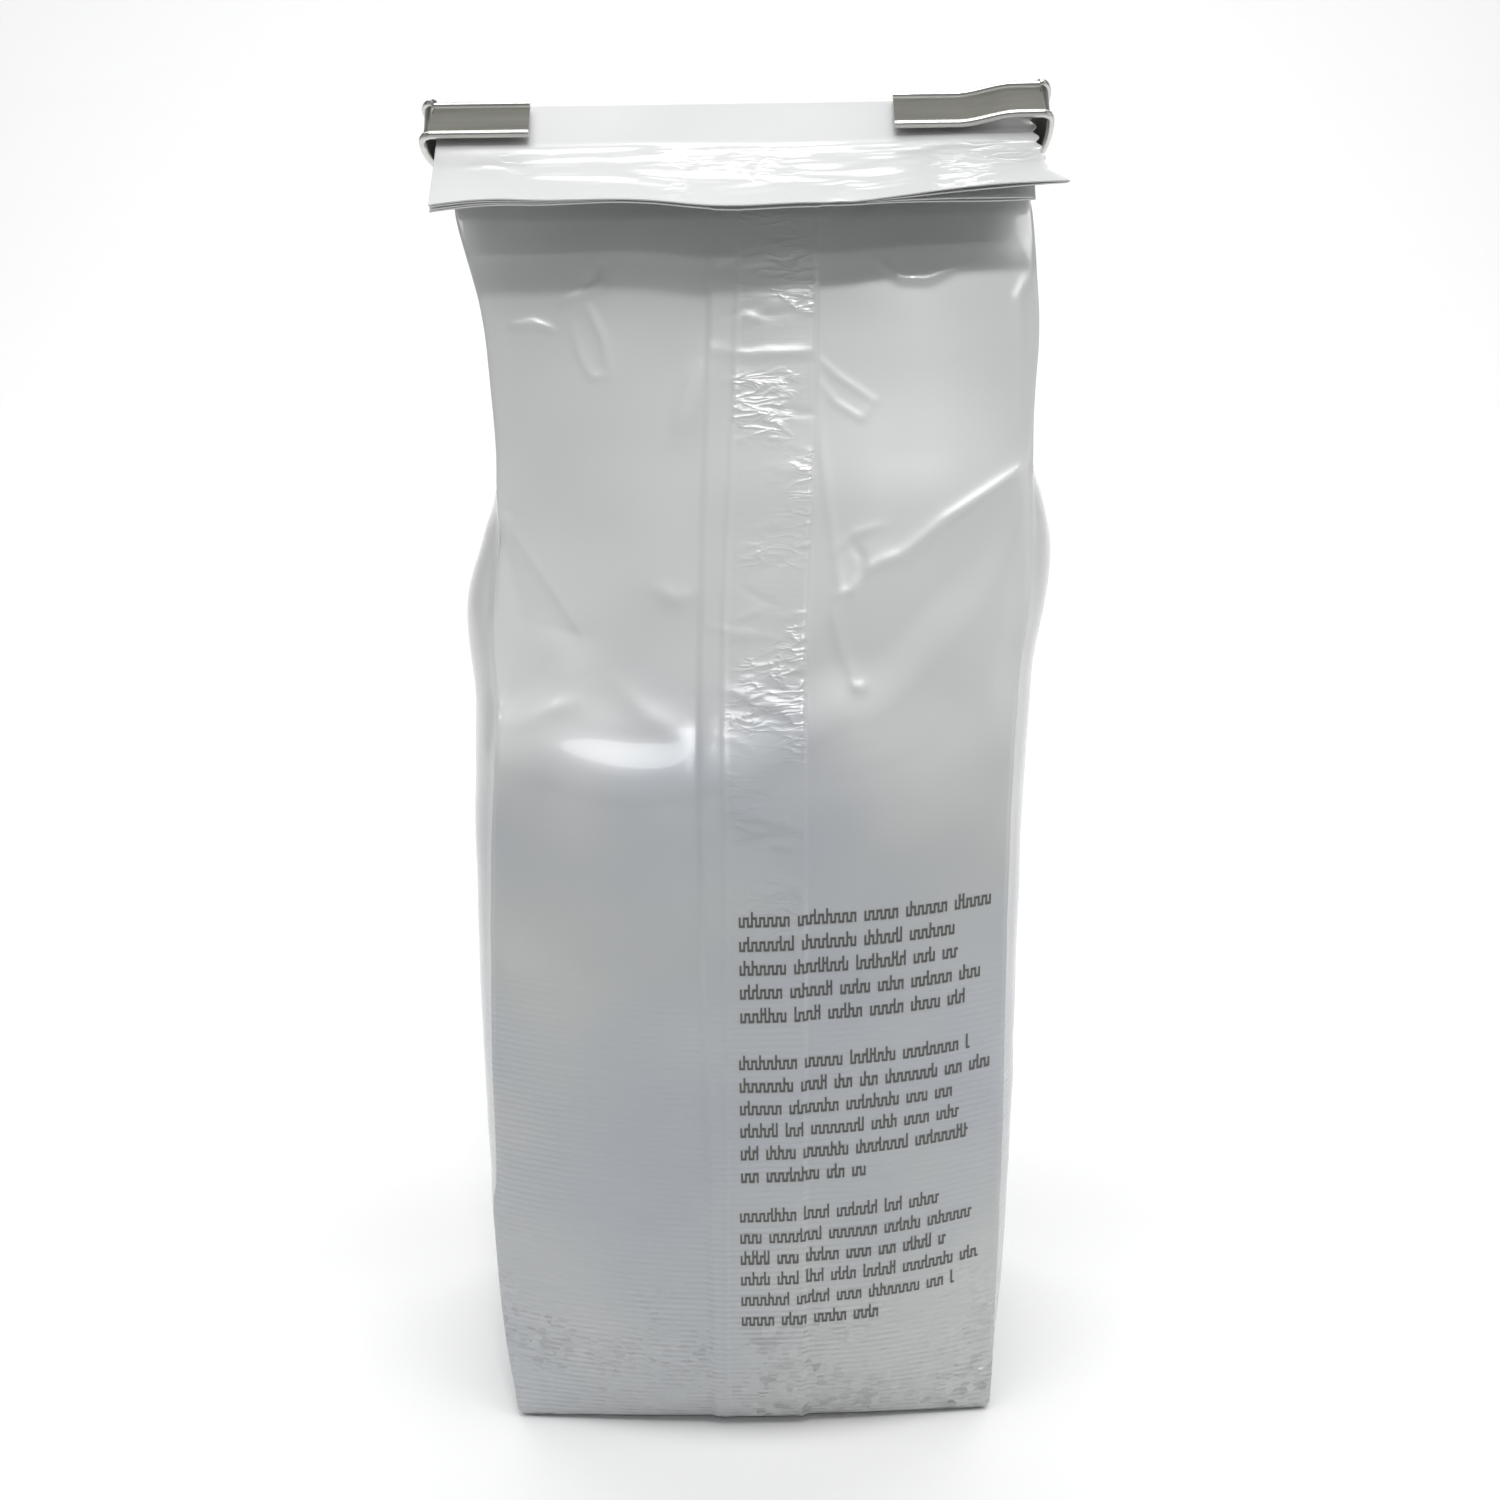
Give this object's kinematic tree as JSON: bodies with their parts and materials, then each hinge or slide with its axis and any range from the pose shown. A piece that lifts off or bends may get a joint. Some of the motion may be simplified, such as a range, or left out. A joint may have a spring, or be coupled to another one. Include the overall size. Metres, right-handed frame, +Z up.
{
  "type": "coffee bag",
  "caption": "Filled side-gusset coffee bag of glossy silver-white film, with a lapped back seam and a folded top held by a flat metal tie.",
  "frame": {"origin": "middle of the whole model's box at the height of the flat base", "axes": "+Z up along the bag, -Y out of the panel with the lapped seam, +X to the right of who looks at that panel"},
  "size_m": [0.0958, 0.075, 0.2164],
  "materials": {
    "laminate_film": "glossy silver-white laminate film with fine cross ribs",
    "tinned_steel": "tinned steel strip, dull web and bright rolled rims"
  },
  "bodies": {
    "root": {"bag": "laminate_film", "tin_tie": "tinned_steel"}
  },
  "joints": []
}
